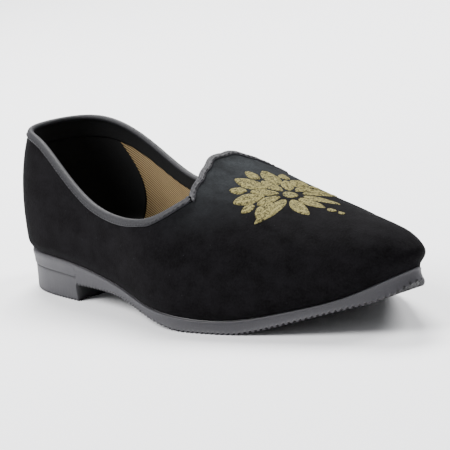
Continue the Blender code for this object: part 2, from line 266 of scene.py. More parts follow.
def top_line_half(side):
    """Half of the opening from above: quarter by inverting the arch, then the tongue's cubic edge."""
    x = np.linspace(HEEL_X, THROAT_X, QUARTER_STEPS)
    base, rise = crown_room(x)
    share = (table(TOP_LINE, x) - base) / np.maximum(rise, SMALL)
    x = x[share < 1]
    share = share[share < 1]
    y = ridge_y(x) + side * half_width(x, side) * (1 - share**CROWN_POWER) ** (1 / CROWN_POWER)
    quarter = np.vstack([[x[0], 0.0], np.stack([x, y], axis=1)])
    corner = quarter[-1]
    side_point = np.array([TONGUE_X, RIDGE_Y + side * TONGUE_HALF])
    shoulder = corner + SHOULDER_SHARE * (side_point - corner)
    edge = [(TONGUE_X + ahead, RIDGE_Y + side * share * TONGUE_HALF) for ahead, share in TONGUE_EDGE]
    plan = np.array([corner, shoulder, *edge])
    pace = travelled(plan)
    at = np.linspace(0, pace[-1], TONGUE_STEPS)
    return quarter, np.stack([cubic(pace, plan[:, i], at) for i in range(2)], axis=1)


COLLAR = {side: top_line_half(side) for side in (-1, 1)}
print("length of the opening's edge in mm:", [round(float(travelled(p)[-1]) / MM) for p in COLLAR[-1]])

# %% [markdown]
# ## Lines up the wall
# A grid over the upper needs lines that never cross. Each starts on the sole's edge, bows out to
# the widest line and climbs over the arch to its own place on the opening. At the toe the suede is
# tucked in tightly over the sole, so the lines there go up before they swing out. The places run
# from 0 at the heel back, along the outer side to 0.5 at the toe tip, and back along the inner side.

# %% Line ends
LINES_ON_OUTLINE = [(0.0, 0.0), (0.30, 0.345), (0.60, 0.715), (0.80, 0.870), (0.92, 0.957), (1.0, 1.0)]
THROAT_SHARE = 0.60


def line_ends(places):
    """Foot, widest point and end on the opening for each place, read at shares of the outlines."""
    places = np.mod(places, 1.0)
    foot, wide, top = np.zeros((3, len(places), 2))
    share = 1 - np.abs(1 - 2 * places)
    on_outline = cubic(*np.array(LINES_ON_OUTLINE).T, share)
    for side, here in ((-1, places <= 0.5), (1, places > 0.5)):
        quarter, tongue = COLLAR[side]
        foot[here] = at_share(FOOT[side], on_outline[here])
        wide[here] = at_share(SIDES[side], on_outline[here])
        back = at_share(quarter, np.clip(share[here] / THROAT_SHARE, 0, 1))
        front = at_share(tongue, np.clip((share[here] - THROAT_SHARE) / (1 - THROAT_SHARE), 0, 1))
        top[here] = np.where((share[here] <= THROAT_SHARE)[:, None], back, front)
    return foot, wide, top


print("widest place at the toe tip in mm:", np.round(line_ends(np.array([0.5]))[1][0] / MM, 1).tolist())

# %% Wall lines
SWELL_POINTS = 24
LINE_POINTS = 160
GAP = 0.3 * MM


def wall_lines(places):
    """Fine lines: a parabola out over the swell, an S at the toe, then the arch up to the opening."""
    foot, wide, top = line_ends(places)
    rise = np.linspace(0, 1, SWELL_POINTS, endpoint=False)[None, :, None]
    tucked = toe_share(foot[:, 0])[:, None, None]
    reach = (1 - tucked) * (1 - (1 - rise) ** 2) + tucked * rise**2 * (3 - 2 * rise)
    plan_low = foot[:, None] + (wide - foot)[:, None] * reach
    start = feather(foot[:, 0])[:, None] + GAP
    widest = crown_room(wide[:, 0])[0][:, None]
    z_low = start + (widest - start) * rise[..., 0]
    run = np.linspace(0, 1, LINE_POINTS)[None, :] ** 2
    x, y = np.moveaxis(wide[:, None] + (top - wide)[:, None] * run[..., None], -1, 0)
    share, width = side_share(x, y)
    top_share = side_share(top[:, 0], top[:, 1])[0][:, None]
    y = ridge_y(x) + np.minimum(share, 1 + (top_share - 1) * run) * width
    low = np.concatenate([plan_low, z_low[..., None]], axis=-1)
    high = np.stack([x, y, crown(x, y)], axis=-1)
    return np.concatenate([low, high], axis=1)


print("points up one line:", wall_lines(np.array([0.25])).shape[1])

# %% Lengths up the lines


def lengths(lines):
    """Length up every line at each of its points."""
    steps = np.linalg.norm(np.diff(lines, axis=1), axis=2)
    return np.concatenate([np.zeros((len(lines), 1)), np.cumsum(steps, axis=1)], axis=1)


def resample(lines, at):
    """Points at given lengths up every line at once: find the step each falls in and mix its ends."""
    length = lengths(lines)
    k = np.clip((length[:, None, :] <= at[:, :, None]).sum(axis=2) - 1, 0, lines.shape[1] - 2)
    low = np.take_along_axis(length, k, 1)
    high = np.take_along_axis(length, k + 1, 1)
    mix = ((at - low) / (high - low))[..., None]
    first = np.take_along_axis(lines, k[..., None], 1)
    second = np.take_along_axis(lines, k[..., None] + 1, 1)
    return first + (second - first) * mix


sample = lengths(wall_lines(np.array([0.0, 0.25, 0.5])))[:, -1]
print("wall height over heel, side and toe in mm:", np.round(sample / MM, 1).tolist())

# %% [markdown]
# ## From arrays to pieces
# Every piece below is a grid of points, or a stack of such grids. One function joins a grid into
# quads, moves the last's own middle onto the frame's origin, and stores an optional flat map in
# metres, so that a weave keeps its true scale. A second one closes seams where points meet. A third
# gives the piece its finish and its thickness and ties it to the frame.

# %% Sheets


def numbered(shape):
    """A grid of the given shape that holds 0, 1, 2 and so on: the numbers of its points."""
    return np.arange(np.prod(shape)).reshape(shape)


def quads_of(index, flip):
    """Faces of a grid: each quad joins a point to the next along and the next up; flip turns them."""
    first, last = index[..., :-1, :], index[..., 1:, :]
    quads = np.stack([first[..., :-1], last[..., :-1], last[..., 1:], first[..., 1:]], axis=-1)
    return (quads[..., ::-1] if flip else quads).reshape(-1, 4)


def sheet_mesh(name, grid, closed=False, flip=False, tube=False, flat=None, caps=(), marks=None):
    """A smooth mesh of a grid: flat (one row more if closed) is its UV map, marks are point attributes."""
    index = numbered(grid.shape[:-1])
    index = np.concatenate([index, index[..., :1, :]], axis=-2) if closed else index
    index = np.concatenate([index, index[..., :1]], axis=-1) if tube else index
    mesh = bpy.data.meshes.new(name)
    mesh.from_pydata((grid - CENTRE).reshape(-1, 3).tolist(), [], quads_of(index, flip).tolist() + list(caps))
    if flat is not None:
        corners = flat.reshape(-1, 2)[quads_of(numbered(flat.shape[:-1]), flip)]
        mesh.uv_layers.new(name="flat").data.foreach_set("uv", corners.astype(np.float32).ravel())
    for mark, values in (marks or {}).items():
        stored = mesh.attributes.new(mark, "FLOAT", "POINT").data
        stored.foreach_set("value", values.astype(np.float32).ravel())
    mesh.shade_smooth()
    return mesh


def welded(mesh):
    """The mesh with points that share a place joined, which closes a spine and both its ends."""
    work = bmesh.new()
    work.from_mesh(mesh)
    bmesh.ops.remove_doubles(work, verts=work.verts, dist=SMALL)
    work.to_mesh(mesh)
    work.free()
    return mesh


print("quads of a grid of 2 by 3 points:", quads_of(numbered((2, 3)), False).tolist())

# %% Pieces


def put(data):
    """A new object in the scene that holds the given mesh, light or camera and has its name."""
    made = bpy.data.objects.new(data.name, data)
    bpy.context.scene.collection.objects.link(made)
    return made


def new_piece(mesh, material, slot, *nodes, thick=None):
    """Put a mesh into the scene with its finish, riding on the shoe, standing for the named solids."""
    mesh.materials.append(material)
    piece = put(mesh)
    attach(piece, "root")
    if nodes:
        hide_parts(*nodes)
    if thick:
        wall = piece.modifiers.new("thickness", "SOLIDIFY")
        wall.thickness = thick
        wall.offset = -1.0
    print(mesh.name, len(mesh.polygons), "faces", "for " + ", ".join(nodes) if nodes else "")


print("solids that pieces can stand for:", sorted(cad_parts))

# %% Normals


def outward(grid, closed):
    """Unit normals of a grid: the cross product of its run along and its run up."""
    along = np.roll(grid, -1, axis=0) - np.roll(grid, 1, axis=0) if closed else np.gradient(grid, axis=0)
    normal = np.cross(along, np.gradient(grid, axis=1))
    return normal / np.maximum(np.linalg.norm(normal, axis=-1), SMALL**2)[..., None]


heel_side = outward(wall_lines(np.linspace(0, 1, 8, endpoint=False)), True)[0, -1]
print("way out at the heel back:", np.round(heel_side, 2).tolist())

# %% [markdown]
# ## Colours and nodes
# Colours are picked on a screen, so they are sRGB, while Blender mixes light in linear values.
# One function undoes the sRGB curve. Another adds a shader node with its settings and its links,
# and gives back the socket that carries its result, so that a recipe below reads from top to bottom.

# %% Material helpers


def lin(code):
    """An sRGB hex colour as linear red, green, blue and full alpha."""
    c = np.array([int(code[i : i + 2], 16) for i in (1, 3, 5)]) / 255
    c = np.where(c <= 0.04045, c / 12.92, ((c + 0.055) / 1.055) ** 2.4)
    return (*c.tolist(), 1.0)


def feed(node, inputs):
    """Fill a node's inputs: a socket is linked, a hex colour made linear, a number set as it is."""
    for name, value in inputs.items():
        if isinstance(value, bpy.types.NodeSocket):
            node.id_data.links.new(value, node.inputs[name])
        else:
            node.inputs[name].default_value = lin(value) if isinstance(value, str) else value


def add(tree, kind, inputs=None, out=0, **settings):
    """One node with its settings and links, given back as the output socket that is wanted."""
    made = tree.nodes.new("ShaderNode" + kind)
    for name, value in settings.items():
        setattr(made, name, value)
    feed(made, inputs or {})
    return made.outputs[out]


def start_material(name, values):
    """A new material with plain values set on its shader, given back with its tree and that shader."""
    material = bpy.data.materials.new(name)
    material.use_nodes = True
    shader = material.node_tree.nodes["Principled BSDF"]
    feed(shader, values)
    print(name)
    return material, material.node_tree, shader


print("mid grey in linear light:", round(lin("#808080")[0], 3))

# %% [markdown]
# ## Black suede
# Suede is the flesh side of a split hide, buffed until its fibres stand up as a nap. Dyed black it
# drinks most light. What shows is a soft grey sheen where the nap is seen from the side, faint
# brush marks where fibres lie over, and a fine grain. A sheen layer on the shader gives the first,
# and two noises, stretched and fine, give the others.

# %% Suede finish
NAP_GRAIN = 1.0 * MM
BRUSH_MARK = 8 * MM
LINT = 6.5 * MM
# Middle and reach of the painted sheen near the tongue, in metres
PAINTED_SHEEN_AT = (0.024, 0.001, 0.072)
PAINTED_SHEEN_REACH = 0.052

plain = {"Roughness": 0.92, "IOR": 1.50, "Specular IOR Level": 0.03}
sheen = {"Sheen Weight": 0.014, "Sheen Roughness": 0.40, "Sheen Tint": "#a8a8ad"}
SUEDE, tree, shader = start_material("black_suede_buffed", {**plain, **sheen})
place = add(tree, "TexCoord", out="Object")
combed = add(tree, "Mapping", {"Vector": place, "Scale": (0.65, 1.0, 1.0)})
brush_inputs = {"Vector": combed, "Scale": 1 / BRUSH_MARK, "Detail": 5.0, "Roughness": 0.65}
brush = add(tree, "TexNoise", brush_inputs)
lay = add(tree, "MapRange", {"Value": brush, "From Min": 0.38, "From Max": 0.64})
tone = add(tree, "Mix", {0: lay, 6: "#060506", 7: "#0f0e10"}, 2, data_type="RGBA")
# Near the tongue the nap is painted greyer, in patches: a painted sheen where the vamp faces up to the light.
away = add(tree, "VectorMath", {0: place, 1: PAINTED_SHEEN_AT}, "Value", operation="DISTANCE")
near_painted_sheen = add(tree, "MapRange", {"Value": away, "From Min": PAINTED_SHEEN_REACH, "From Max": 0.0})
patch = add(tree, "MapRange", {"Value": lay, "To Min": 0.5})
paler_share = add(tree, "Math", {0: near_painted_sheen, 1: patch}, operation="MULTIPLY")
painted_sheen_tone = add(tree, "Mix", {0: paler_share, 6: tone, 7: "#313436"}, 2, data_type="RGBA")
# Real nap fibres are near 0.1 mm: the grain is drawn coarser, so that it shows at this distance.
nap_inputs = {"Vector": place, "Scale": 1 / NAP_GRAIN, "Detail": 3.0, "Roughness": 0.7}
nap = add(tree, "TexNoise", nap_inputs)
tips = add(tree, "MapRange", {"Value": nap, "From Min": 0.38, "From Max": 0.68, "To Max": 0.45})
fibre = add(tree, "Mix", {0: tips, 6: painted_sheen_tone, 7: "#161617"}, 2, data_type="RGBA")
# A few pale flecks of lint catch on any nap.
cells = add(tree, "TexVoronoi", {"Vector": place, "Scale": 1 / LINT}, "Distance")
fleck = add(tree, "MapRange", {"Value": cells, "From Min": 0.05, "From Max": 0.0, "To Max": 0.6})
dusted = add(tree, "Mix", {0: fleck, 6: fibre, 7: "#3a3a3e"}, 2, data_type="RGBA")
bump = add(tree, "Bump", {"Height": nap, "Strength": 0.6, "Distance": 0.3 * MM})
feed(shader, {"Base Color": dusted, "Normal": bump})

# %% [markdown]
# ## The suede upper
# The upper is cut in one piece and pulled over the last, so its outside has no side seam. The wall
# lines carry the whole form, and rows up each line make the grid. Soft hollows and rolls are
# placed where suede gives: under the throat corners, over the flex of the toes and along
# the sole, where the lasted edge is gathered. Moving points along their normals adds them.

# %% Creases
# Each crease: (place, share of height, reach along, reach up, move in mm)
CREASES = [
    (0.272, 0.8, 0.03, 0.16, -0.55), (0.728, 0.8, 0.03, 0.16, -0.55),
    (0.325, 0.88, 0.022, 0.1, 0.35), (0.675, 0.88, 0.022, 0.1, 0.35),
    (0.205, 0.55, 0.05, 0.22, -0.45), (0.795, 0.55, 0.05, 0.22, -0.45),
    (0.372, 0.36, 0.016, 0.2, -0.3), (0.628, 0.36, 0.016, 0.2, -0.3),
    (0.392, 0.4, 0.014, 0.18, 0.22), (0.608, 0.4, 0.014, 0.18, 0.22),
    (0.07, 0.42, 0.03, 0.25, 0.3), (0.93, 0.42, 0.03, 0.25, 0.3),
    (0.41, 0.34, 0.014, 0.18, -0.24), (0.0, 0.5, 0.0022, 0.9, -0.5),
]
# The gathers: pitch as a share of the way round, a second sine, depth in mm, and a bell at the toe
GATHER_PITCH = 0.0095
GATHER_LONGER = 1.7
GATHER_SECOND = 0.6
GATHER_DEPTH = 0.025
GATHER_UP = 0.07
GATHER_REACH_UP = 0.06
GATHER_REACH = 0.16


def creases(place, height):
    """Soft moves in metres: each row is a bell in place and height; gathers are sines near the sole."""
    move = np.zeros(np.broadcast(place, height).shape)
    for at, up, reach, climb, depth in CREASES:
        away = (np.mod(place - at + 0.5, 1) - 0.5) / reach
        move += depth * np.exp(-(away**2) - ((height - up) / climb) ** 2)
    turn = 2 * np.pi * place / GATHER_PITCH
    gather = np.sin(turn) + GATHER_SECOND * np.sin(turn / GATHER_LONGER + 1)
    up, along = (height - GATHER_UP) / GATHER_REACH_UP, (place - 0.5) / GATHER_REACH
    return (move + GATHER_DEPTH * gather * np.exp(-(up**2) - along**2)) * MM


print("move at the throat corner in mm:", round(float(creases(np.array(0.272), np.array(0.8))) / MM, 2))

# %% Suede upper
UPPER_LINES = 560
SWELL_ROWS = 8
CROWN_ROWS = 44
ROW_START = 0.30
ROW_POWER = 1.7
SUEDE_THICK = 0.9 * MM
SUEDE_TUCK = 0.8 * MM


def rows_up(lines, below):
    """Lengths of the rows: even up the swell, then growing apart up the arch, to a stop below the edge."""
    length = lengths(lines)
    widest = length[:, SWELL_POINTS, None]
    even = np.linspace(0, 1, CROWN_ROWS + 1)[1:]
    climb = ROW_START * even + (1 - ROW_START) * even**ROW_POWER
    low = widest * np.linspace(0, 1, SWELL_ROWS + 1)
    return np.concatenate([low, widest + (length[:, -1:] - below - widest) * climb], axis=1)


places = np.arange(UPPER_LINES) / UPPER_LINES
lines = wall_lines(places)
rows = rows_up(lines, SUEDE_TUCK)
skin = resample(lines, rows)
skin = skin + outward(skin, True) * creases(places[:, None], rows / lengths(lines)[:, -1:])[..., None]
new_piece(sheet_mesh("suede_upper", skin, closed=True), SUEDE, "suede", "upper", thick=SUEDE_THICK)

# %% [markdown]
# ## Khaki twill for the lining
# The inside is lined with a strong cotton twill. In a twill each thread steps one place over, so
# fine ribs run on the slant. Two wave textures on the flat map make it: one on the slant for the
# ribs, one across it for the separate threads. The flat map is in metres, so the pitch is a length.

# %% Twill finish
TWILL_PITCH = 1.45 * MM
THREAD_PITCH = 1.05 * MM
TWILL_SLANT = np.radians(65)
SLUB = 9 * MM
# A wave texture repeats every WAVE_TURN units at scale 1.
WAVE_TURN = 2 * np.pi / 20

plain = {"Roughness": 0.9, "IOR": 1.53, "Sheen Weight": 0.03}
TWILL, tree, shader = start_material("khaki_cotton_twill_woven", plain)
flat = add(tree, "UVMap", uv_map="flat")
slant = add(tree, "Mapping", {"Vector": flat, "Rotation": (0, 0, TWILL_SLANT)})
# Real ribs are near 0.6 mm apart: they are drawn coarser, so that they show.
ribs = add(tree, "TexWave", {"Vector": slant, "Scale": WAVE_TURN / TWILL_PITCH}, "Fac")
across = {"Vector": slant, "Scale": WAVE_TURN / THREAD_PITCH}
threads = add(tree, "TexWave", across, "Fac", bands_direction="Y")
step = add(tree, "MapRange", {"Value": threads, "To Min": 0.85})
weave = add(tree, "Math", {0: ribs, 1: step}, operation="MULTIPLY")
slub = add(tree, "TexNoise", {"Vector": flat, "Scale": 1 / SLUB, "Detail": 3.0})
worn = add(tree, "Mix", {0: slub, 6: "#9b7f50", 7: "#b99d69"}, 2, data_type="RGBA")
shade = add(tree, "MapRange", {"Value": weave, "From Max": 0.8, "To Min": 1.0, "To Max": 0.0})
cloth = add(tree, "Mix", {0: shade, 6: worn, 7: "#261d10"}, 2, data_type="RGBA")
bump = add(tree, "Bump", {"Height": weave, "Strength": 0.7, "Distance": 0.25 * MM})
feed(shader, {"Base Color": cloth, "Normal": bump})

# %% [markdown]
# ## The lining
# The lining is the same wall seen from inside. A copy made by a thickness modifier alone would follow
# every crease of the suede, so it is worked out from the wall lines again and moved in by the
# thickness of the suede. Its faces point into the shoe. Its flat map runs along the opening and up
# the wall.

# %% Twill lining
LINING_IN = 1.7 * MM
LINING_THICK = 0.6 * MM
LINING_LINES = 360
LINING_ROWS = 30
LINING_SPAN = (0.02, 0.97)


def inner_sheet(name, at, inset):
    """A sheet inside the shoe: points up the inner lines, moved in along the wall's own normal."""
    grid = resample(inner_lines, at)
    grid = grid - outward(grid, True) * inset
    middle = grid[:, grid.shape[1] // 2]
    walk = travelled(np.vstack([middle, middle[:1]]))
    up = np.vstack([at, at[:1]])
    flat = np.stack([np.broadcast_to(walk[:, None], up.shape), up], axis=-1)
    return sheet_mesh(name, grid, closed=True, flip=True, flat=flat)


inner_lines = wall_lines(np.arange(LINING_LINES) / LINING_LINES)
ends = lengths(inner_lines)[:, -1:]
mesh = inner_sheet("twill_lining", ends * np.linspace(*LINING_SPAN, LINING_ROWS), LINING_IN)
new_piece(mesh, TWILL, "lining", thick=LINING_THICK)

# %% [markdown]
# ## Black lining leather
# Two linings inside the shoe are black: a facing under the binding and a grip behind the heel. Both
# are of thin leather, dyed through and tumbled until its grain breaks into pebbles. The eye gets a
# dull black with a fine, broken shine. Rounded cells make the pebbles, and a soft noise the dye.

# %% Black leather finish
GRAIN = 0.9 * MM
DYE_CLOUD = 7 * MM

plain = {"Roughness": 0.62, "IOR": 1.5, "Specular IOR Level": 0.4}
FACING, tree, shader = start_material("black_lining_leather", plain)
place = add(tree, "TexCoord", out="Object")
# Real grain is near 0.4 mm: it is drawn coarser, so that it shows.
grain = {"Vector": place, "Scale": 1 / GRAIN}
pebble = add(tree, "TexVoronoi", grain, "Distance", feature="SMOOTH_F1")
cloud = add(tree, "TexNoise", {"Vector": place, "Scale": 1 / DYE_CLOUD, "Detail": 4.0})
tone = add(tree, "Mix", {0: cloud, 6: "#070708", 7: "#121314"}, 2, data_type="RGBA")
bump = add(tree, "Bump", {"Height": pebble, "Strength": 0.3, "Distance": 0.15 * MM})
feed(shader, {"Base Color": tone, "Normal": bump})

# %% [markdown]
# ## The facing
# The facing runs round the inside under the binding, about a centimetre deep, and keeps the edge
# from stretching. A ribbon bent along a curve would not know how the wall leans. So it is the inner
# wall again, a little further in, between two lengths measured down from the edge.

# %% Facing band
FACING_DEEP = 12.5 * MM
FACING_TOP = 0.8 * MM
FACING_ROWS = 12
FACING_IN = 2.1 * MM
FACING_THICK = 0.5 * MM

mesh = inner_sheet("collar_facing", ends - np.linspace(FACING_DEEP, FACING_TOP, FACING_ROWS), FACING_IN)
new_piece(mesh, FACING, "dark_lining", thick=FACING_THICK)

# %% [markdown]
# ## The heel grip
# Behind the heel a soft patch keeps the foot from slipping out. Its front edge is curved. A sheet
# cut to that curve would have a ragged edge, so the places of the wall lines are bent into it
# instead, and the grid keeps clean edges.

# %% Heel grip
GRIP_OUTER = 0.105
GRIP_INNER = 0.086
GRIP_IN = 2.05 * MM
GRIP_LOW = 1.5 * MM
GRIP_HIGH = 11.0 * MM
GRIP_LINES = 81
GRIP_ROWS = 36
# Share of the grip's reach at each share of its height: the front edge bellies forward.
GRIP_FRONT = [(0.0, 0.90), (0.35, 1.0), (0.65, 0.97), (1.0, 0.80)]

across = np.linspace(-1, 1, GRIP_LINES)[:, None]
up = np.linspace(0, 1, GRIP_ROWS)[None, :]
belly = cubic(*np.array(GRIP_FRONT).T, up)
grip_places = np.where(across > 0, GRIP_OUTER, GRIP_INNER) * across * belly
fine = wall_lines(grip_places.ravel())
climb = lengths(fine)[:, -1] - GRIP_HIGH - GRIP_LOW
at = GRIP_LOW + climb * np.broadcast_to(up, grip_places.shape).ravel()
grid = resample(fine, at[:, None])[:, 0].reshape(*grip_places.shape, 3)
grid = grid - outward(grid, False) * GRIP_IN
new_piece(sheet_mesh("heel_grip", grid, flip=True), FACING, "dark_lining", thick=FACING_THICK)

# %% [markdown]
# ## Grey rubber for the sole
# The sole is moulded in one piece from a thermoplastic rubber. It comes out of the mould matt, with
# a faint cloudiness and a fine bloom of pale dust. Rubber has an IOR near 1.52 and is rough, so
# it shows wide, dim highlights. Fine grain in the bump and a mottled roughness keep it from looking
# like paint. The ribbed tread is painted darker, a painted shade for the underside: an attribute of
# the mesh, set further down, says where the tread is.

# %% Rubber finish
RUBBER_CLOUD = 11 * MM
GRIT = 0.6 * MM

RUBBER, tree, shader = start_material("grey_moulded_rubber", {"IOR": 1.52, "Specular IOR Level": 0.45})
place = add(tree, "TexCoord", out="Object")
cloud_inputs = {"Vector": place, "Scale": 1 / RUBBER_CLOUD, "Detail": 5.0, "Roughness": 0.6}
cloud = add(tree, "TexNoise", cloud_inputs)
grit = add(tree, "TexNoise", {"Vector": place, "Scale": 1 / GRIT, "Detail": 2.0})
tone = add(tree, "Mix", {0: cloud, 6: "#222125", 7: "#302f34"}, 2, data_type="RGBA")
dust = add(tree, "MapRange", {"Value": grit, "From Min": 0.55, "From Max": 0.75, "To Max": 0.25})
bloom = add(tree, "Mix", {0: dust, 6: tone, 7: "#4a494f"}, 2, data_type="RGBA")
# Painted shade: the tread under the sole is painted near black.
tread = add(tree, "Attribute", out="Fac", attribute_name="tread")
tread_painted_shade = add(tree, "Mix", {0: tread, 6: bloom, 7: "#0e0e10"}, 2, data_type="RGBA")
dull = add(tree, "MapRange", {"Value": cloud, "To Min": 0.5, "To Max": 0.72})
bump = add(tree, "Bump", {"Height": grit, "Strength": 0.25, "Distance": 0.12 * MM})
feed(shader, {"Base Color": tread_painted_shade, "Roughness": dull, "Normal": bump})

# %% [markdown]
# ## The moulded sole
# Round its side the sole has a thin lip under the suede, a slightly hollow face that flares
# downwards, and a rounded foot. At the heel a groove marks off the heel block, as the mould has it.
# At the toe the side is drawn in, until its lip is flush with the suede. Rings of the outline, each
# moved out by its own amount, make the side. The tread carries on from the last ring to a spine down
# the middle: small teeth round its edge, counted along the outline, then a channel, then fine ribs
# across the foot.

# %% Rings and ribs
RIB_CUT = (0.30, 0.75)
SPINE_ROOM = 16 * MM


def ring_stations(count):
    """Stations from heel to toe by a cosine, so closer at both ends, and the same once round."""
    stations = MIDDLE - HALF * np.cos(np.linspace(0, np.pi, count + 1))
    return stations, np.append(stations, stations[-2:0:-1])


def ring(outset, x):
    """The outline moved out and read at stations x: down the outer side, back up the inner side."""
    sides = two_sides(BASE + OUTWARD * outset)
    reach = MIDDLE + (x - MIDDLE) * (1 + outset / HALF)
    outer, inner = (np.interp(reach, *sides[k].T) for k in (-1, 1))
    return np.stack([np.append(reach, reach[-2:0:-1]), np.append(outer, inner[-2:0:-1])], axis=1)


def rings(outsets, x):
    """One ring for each outset in mm, side by side."""
    return np.stack([ring(out * MM, x) for out in outsets], axis=1)


def rib(turns):
    """0 on a rib, 1 in a groove: a cosine of the turns, cut flat at its top and bottom."""
    low, high = RIB_CUT
    return np.clip((0.5 - 0.5 * np.cos(2 * np.pi * turns) - low) / (high - low), 0, 1)


def to_spine(edge, shares):
    """Rows from a ring in to the spine, a line down the middle that stops short of both ends."""
    limit = HALF - SPINE_ROOM
    spine_x = np.clip(edge[:, 0], MIDDLE - limit, MIDDLE + limit)
    spine = np.stack([spine_x, ridge_y(spine_x)], axis=1)
    return edge[:, None] + (spine - edge)[:, None] * shares[None, :, None]


def raised(plans, heights):
    """One grid from blocks of places and of heights, side by side."""
    heights = np.concatenate(heights, axis=1)[..., None]
    return np.concatenate([np.concatenate(plans, axis=1), heights], axis=-1)


print("a rib and a groove:", [float(rib(np.array(turns))) for turns in (0.0, 0.5)])

# %% Moulded sole
SOLE_STATIONS = 820
# Side of the sole: (share of the drop, distance outside the outline in mm, inset at the heel in mm)
SOLE_SIDE = [
    (0.0, -3.0, 0.0), (0.0, 0.15, 0.0), (0.02, 0.5, 0.0), (0.05, 0.68, 0.0), (0.09, 0.7, 0.0),
    (0.13, 0.6, 0.0), (0.17, 0.48, 0.0), (0.24, 0.44, 0.0), (0.31, 0.46, 0.0), (0.332, 0.48, 0.05),
    (0.345, 0.49, 0.9), (0.365, 0.5, 1.0), (0.378, 0.51, 0.5), (0.41, 0.53, 0.4), (0.45, 0.55, 0.4),
    (0.68, 0.9, 0.5), (0.84, 1.25, 0.6), (0.93, 1.4, 0.6), (0.97, 1.36, 0.6), (1.0, 1.1, 0.5),
]
# How far the side is drawn in at the toe, in mm like the table above
TOE_TRIM = 0.7
# Rows of the tread, as shares of the way from its edge to the spine: teeth, a channel, then cross ribs.
TREAD_ROWS = np.array(
    [0.04, 0.08, 0.12, 0.15, 0.165, 0.19, 0.215, 0.23, 0.28, 0.36, 0.46, 0.6, 0.75, 0.9, 1.0]
)
BED_ROWS = np.array([1.0, 0.75, 0.5, 0.25])
TEETH_IN = 0.16
CHANNEL_IN = 0.22
RIB_PITCH = 3.1 * MM
RIB_DEPTH = 0.85 * MM
TOOTH_DEPTH = 1.2 * MM
TOOTH_FROM = 0.72

stations, around = ring_stations(SOLE_STATIONS)
share, outset, inset = np.array(SOLE_SIDE).T
plain = rings(outset, stations)
at_heel = np.clip((HEEL_BREAST + BREAST_SLOPE - around) / BREAST_SLOPE, 0, 1)[:, None, None]
at_toe = toe_share(around)[:, None, None]
side = plain + (rings(outset - inset, stations) - plain) * at_heel
side = side + (rings(outset - TOE_TRIM, stations) - plain) * at_toe
walk = travelled(np.vstack([plain[:, -1], plain[:1, -1]]))
teeth = rib(walk[:-1] / walk[-1] * round(walk[-1] / RIB_PITCH))[:, None]
tooth = np.clip((share - TOOTH_FROM) / (1 - TOOTH_FROM), 0, 1) ** 2
top = feather(around)[:, None]
side_z = top + (sole_bottom(around)[:, None] - top) * share + TOOTH_DEPTH * teeth * tooth
tread = to_spine(side[:, -1], TREAD_ROWS)
cross_ribs = np.where(TREAD_ROWS < CHANNEL_IN, 1.0, rib(tread[..., 0] / RIB_PITCH))
cut = np.where(TREAD_ROWS < TEETH_IN, TOOTH_DEPTH * teeth, RIB_DEPTH * cross_ribs)
bed = to_spine(side[:, 0], BED_ROWS)
grid = raised([bed, side, tread], [feather(bed[..., 0]), side_z, cut + sole_bottom(tread[..., 0])])
# The tread rows are marked, and the finish paints them darker as shade.
under = np.zeros(grid.shape[:2])
under[:, -len(TREAD_ROWS) :] = 1
mesh = sheet_mesh("rubber_sole", grid, closed=True, flip=True, marks={"tread": under})
new_piece(welded(mesh), RUBBER, "rubber", "outsole")

# %% [markdown]
# ## Cotton for the sock
# The insole is covered by a sock of plain-woven cotton, dyed dark. It has no shine. What shows is the
# small dark gap wherever four threads meet, so two crossed waves are multiplied: the product is low
# at each gap.

# %% Insole finish
SOCK_PITCH = 1.6 * MM
SOCK_CLOUD = 16 * MM

plain = {"Roughness": 0.9, "IOR": 1.53, "Specular IOR Level": 0.2}
SOCK, tree, shader = start_material("dark_cotton_sock_plain_woven", plain)
place = add(tree, "TexCoord", out="Object")
# Real threads are near 0.5 mm apart: they are drawn coarser, so that the weave shows.
threads = {"Vector": place, "Scale": WAVE_TURN / SOCK_PITCH}
warp, weft = (add(tree, "TexWave", threads, "Fac", bands_direction=way) for way in "XY")
cloth = add(tree, "Math", {0: warp, 1: weft}, operation="MULTIPLY")
cloud = add(tree, "TexNoise", {"Vector": place, "Scale": 1 / SOCK_CLOUD, "Detail": 4.0})
tone = add(tree, "Mix", {0: cloud, 6: "#121112", 7: "#211f1f"}, 2, data_type="RGBA")
gaps = add(tree, "MapRange", {"Value": cloth, "From Max": 0.5, "To Min": 0.75, "To Max": 0.0})
woven = add(tree, "Mix", {0: gaps, 6: tone, 7: "#070707"}, 2, data_type="RGBA")
bump = add(tree, "Bump", {"Height": cloth, "Strength": 0.6, "Distance": 0.25 * MM})
feed(shader, {"Base Color": woven, "Normal": bump})

# %% [markdown]
# ## The insole
# A thin board lies on the sole inside the wall. It is dished a little, as a footbed is, with its edge
# rounded over, and sewn down near its edge, where the seam pulls in a shallow groove. It is built
# as the sole is, from rings and a spine, so that the two fit.

# %% Insole
INSOLE_STATIONS = 160
INSOLE_ROWS = 10
INSOLE_THICK = 2.5 * MM
DISH = 0.7 * MM
# Seam of the insole, in shares of the way from its edge to its spine
SEAM_IN = 0.14
SEAM_WIDE = 0.016
SEAM_DEEP = 0.45 * MM
# Edge of the insole: (share of its thickness, distance outside the sole's outline in mm)
INSOLE_EDGE = [(0.0, -3.0), (0.35, -3.0), (0.75, -3.1), (0.95, -3.5), (1.0, -4.1)]
UNDER_ROWS = np.array([1.0, 0.5])

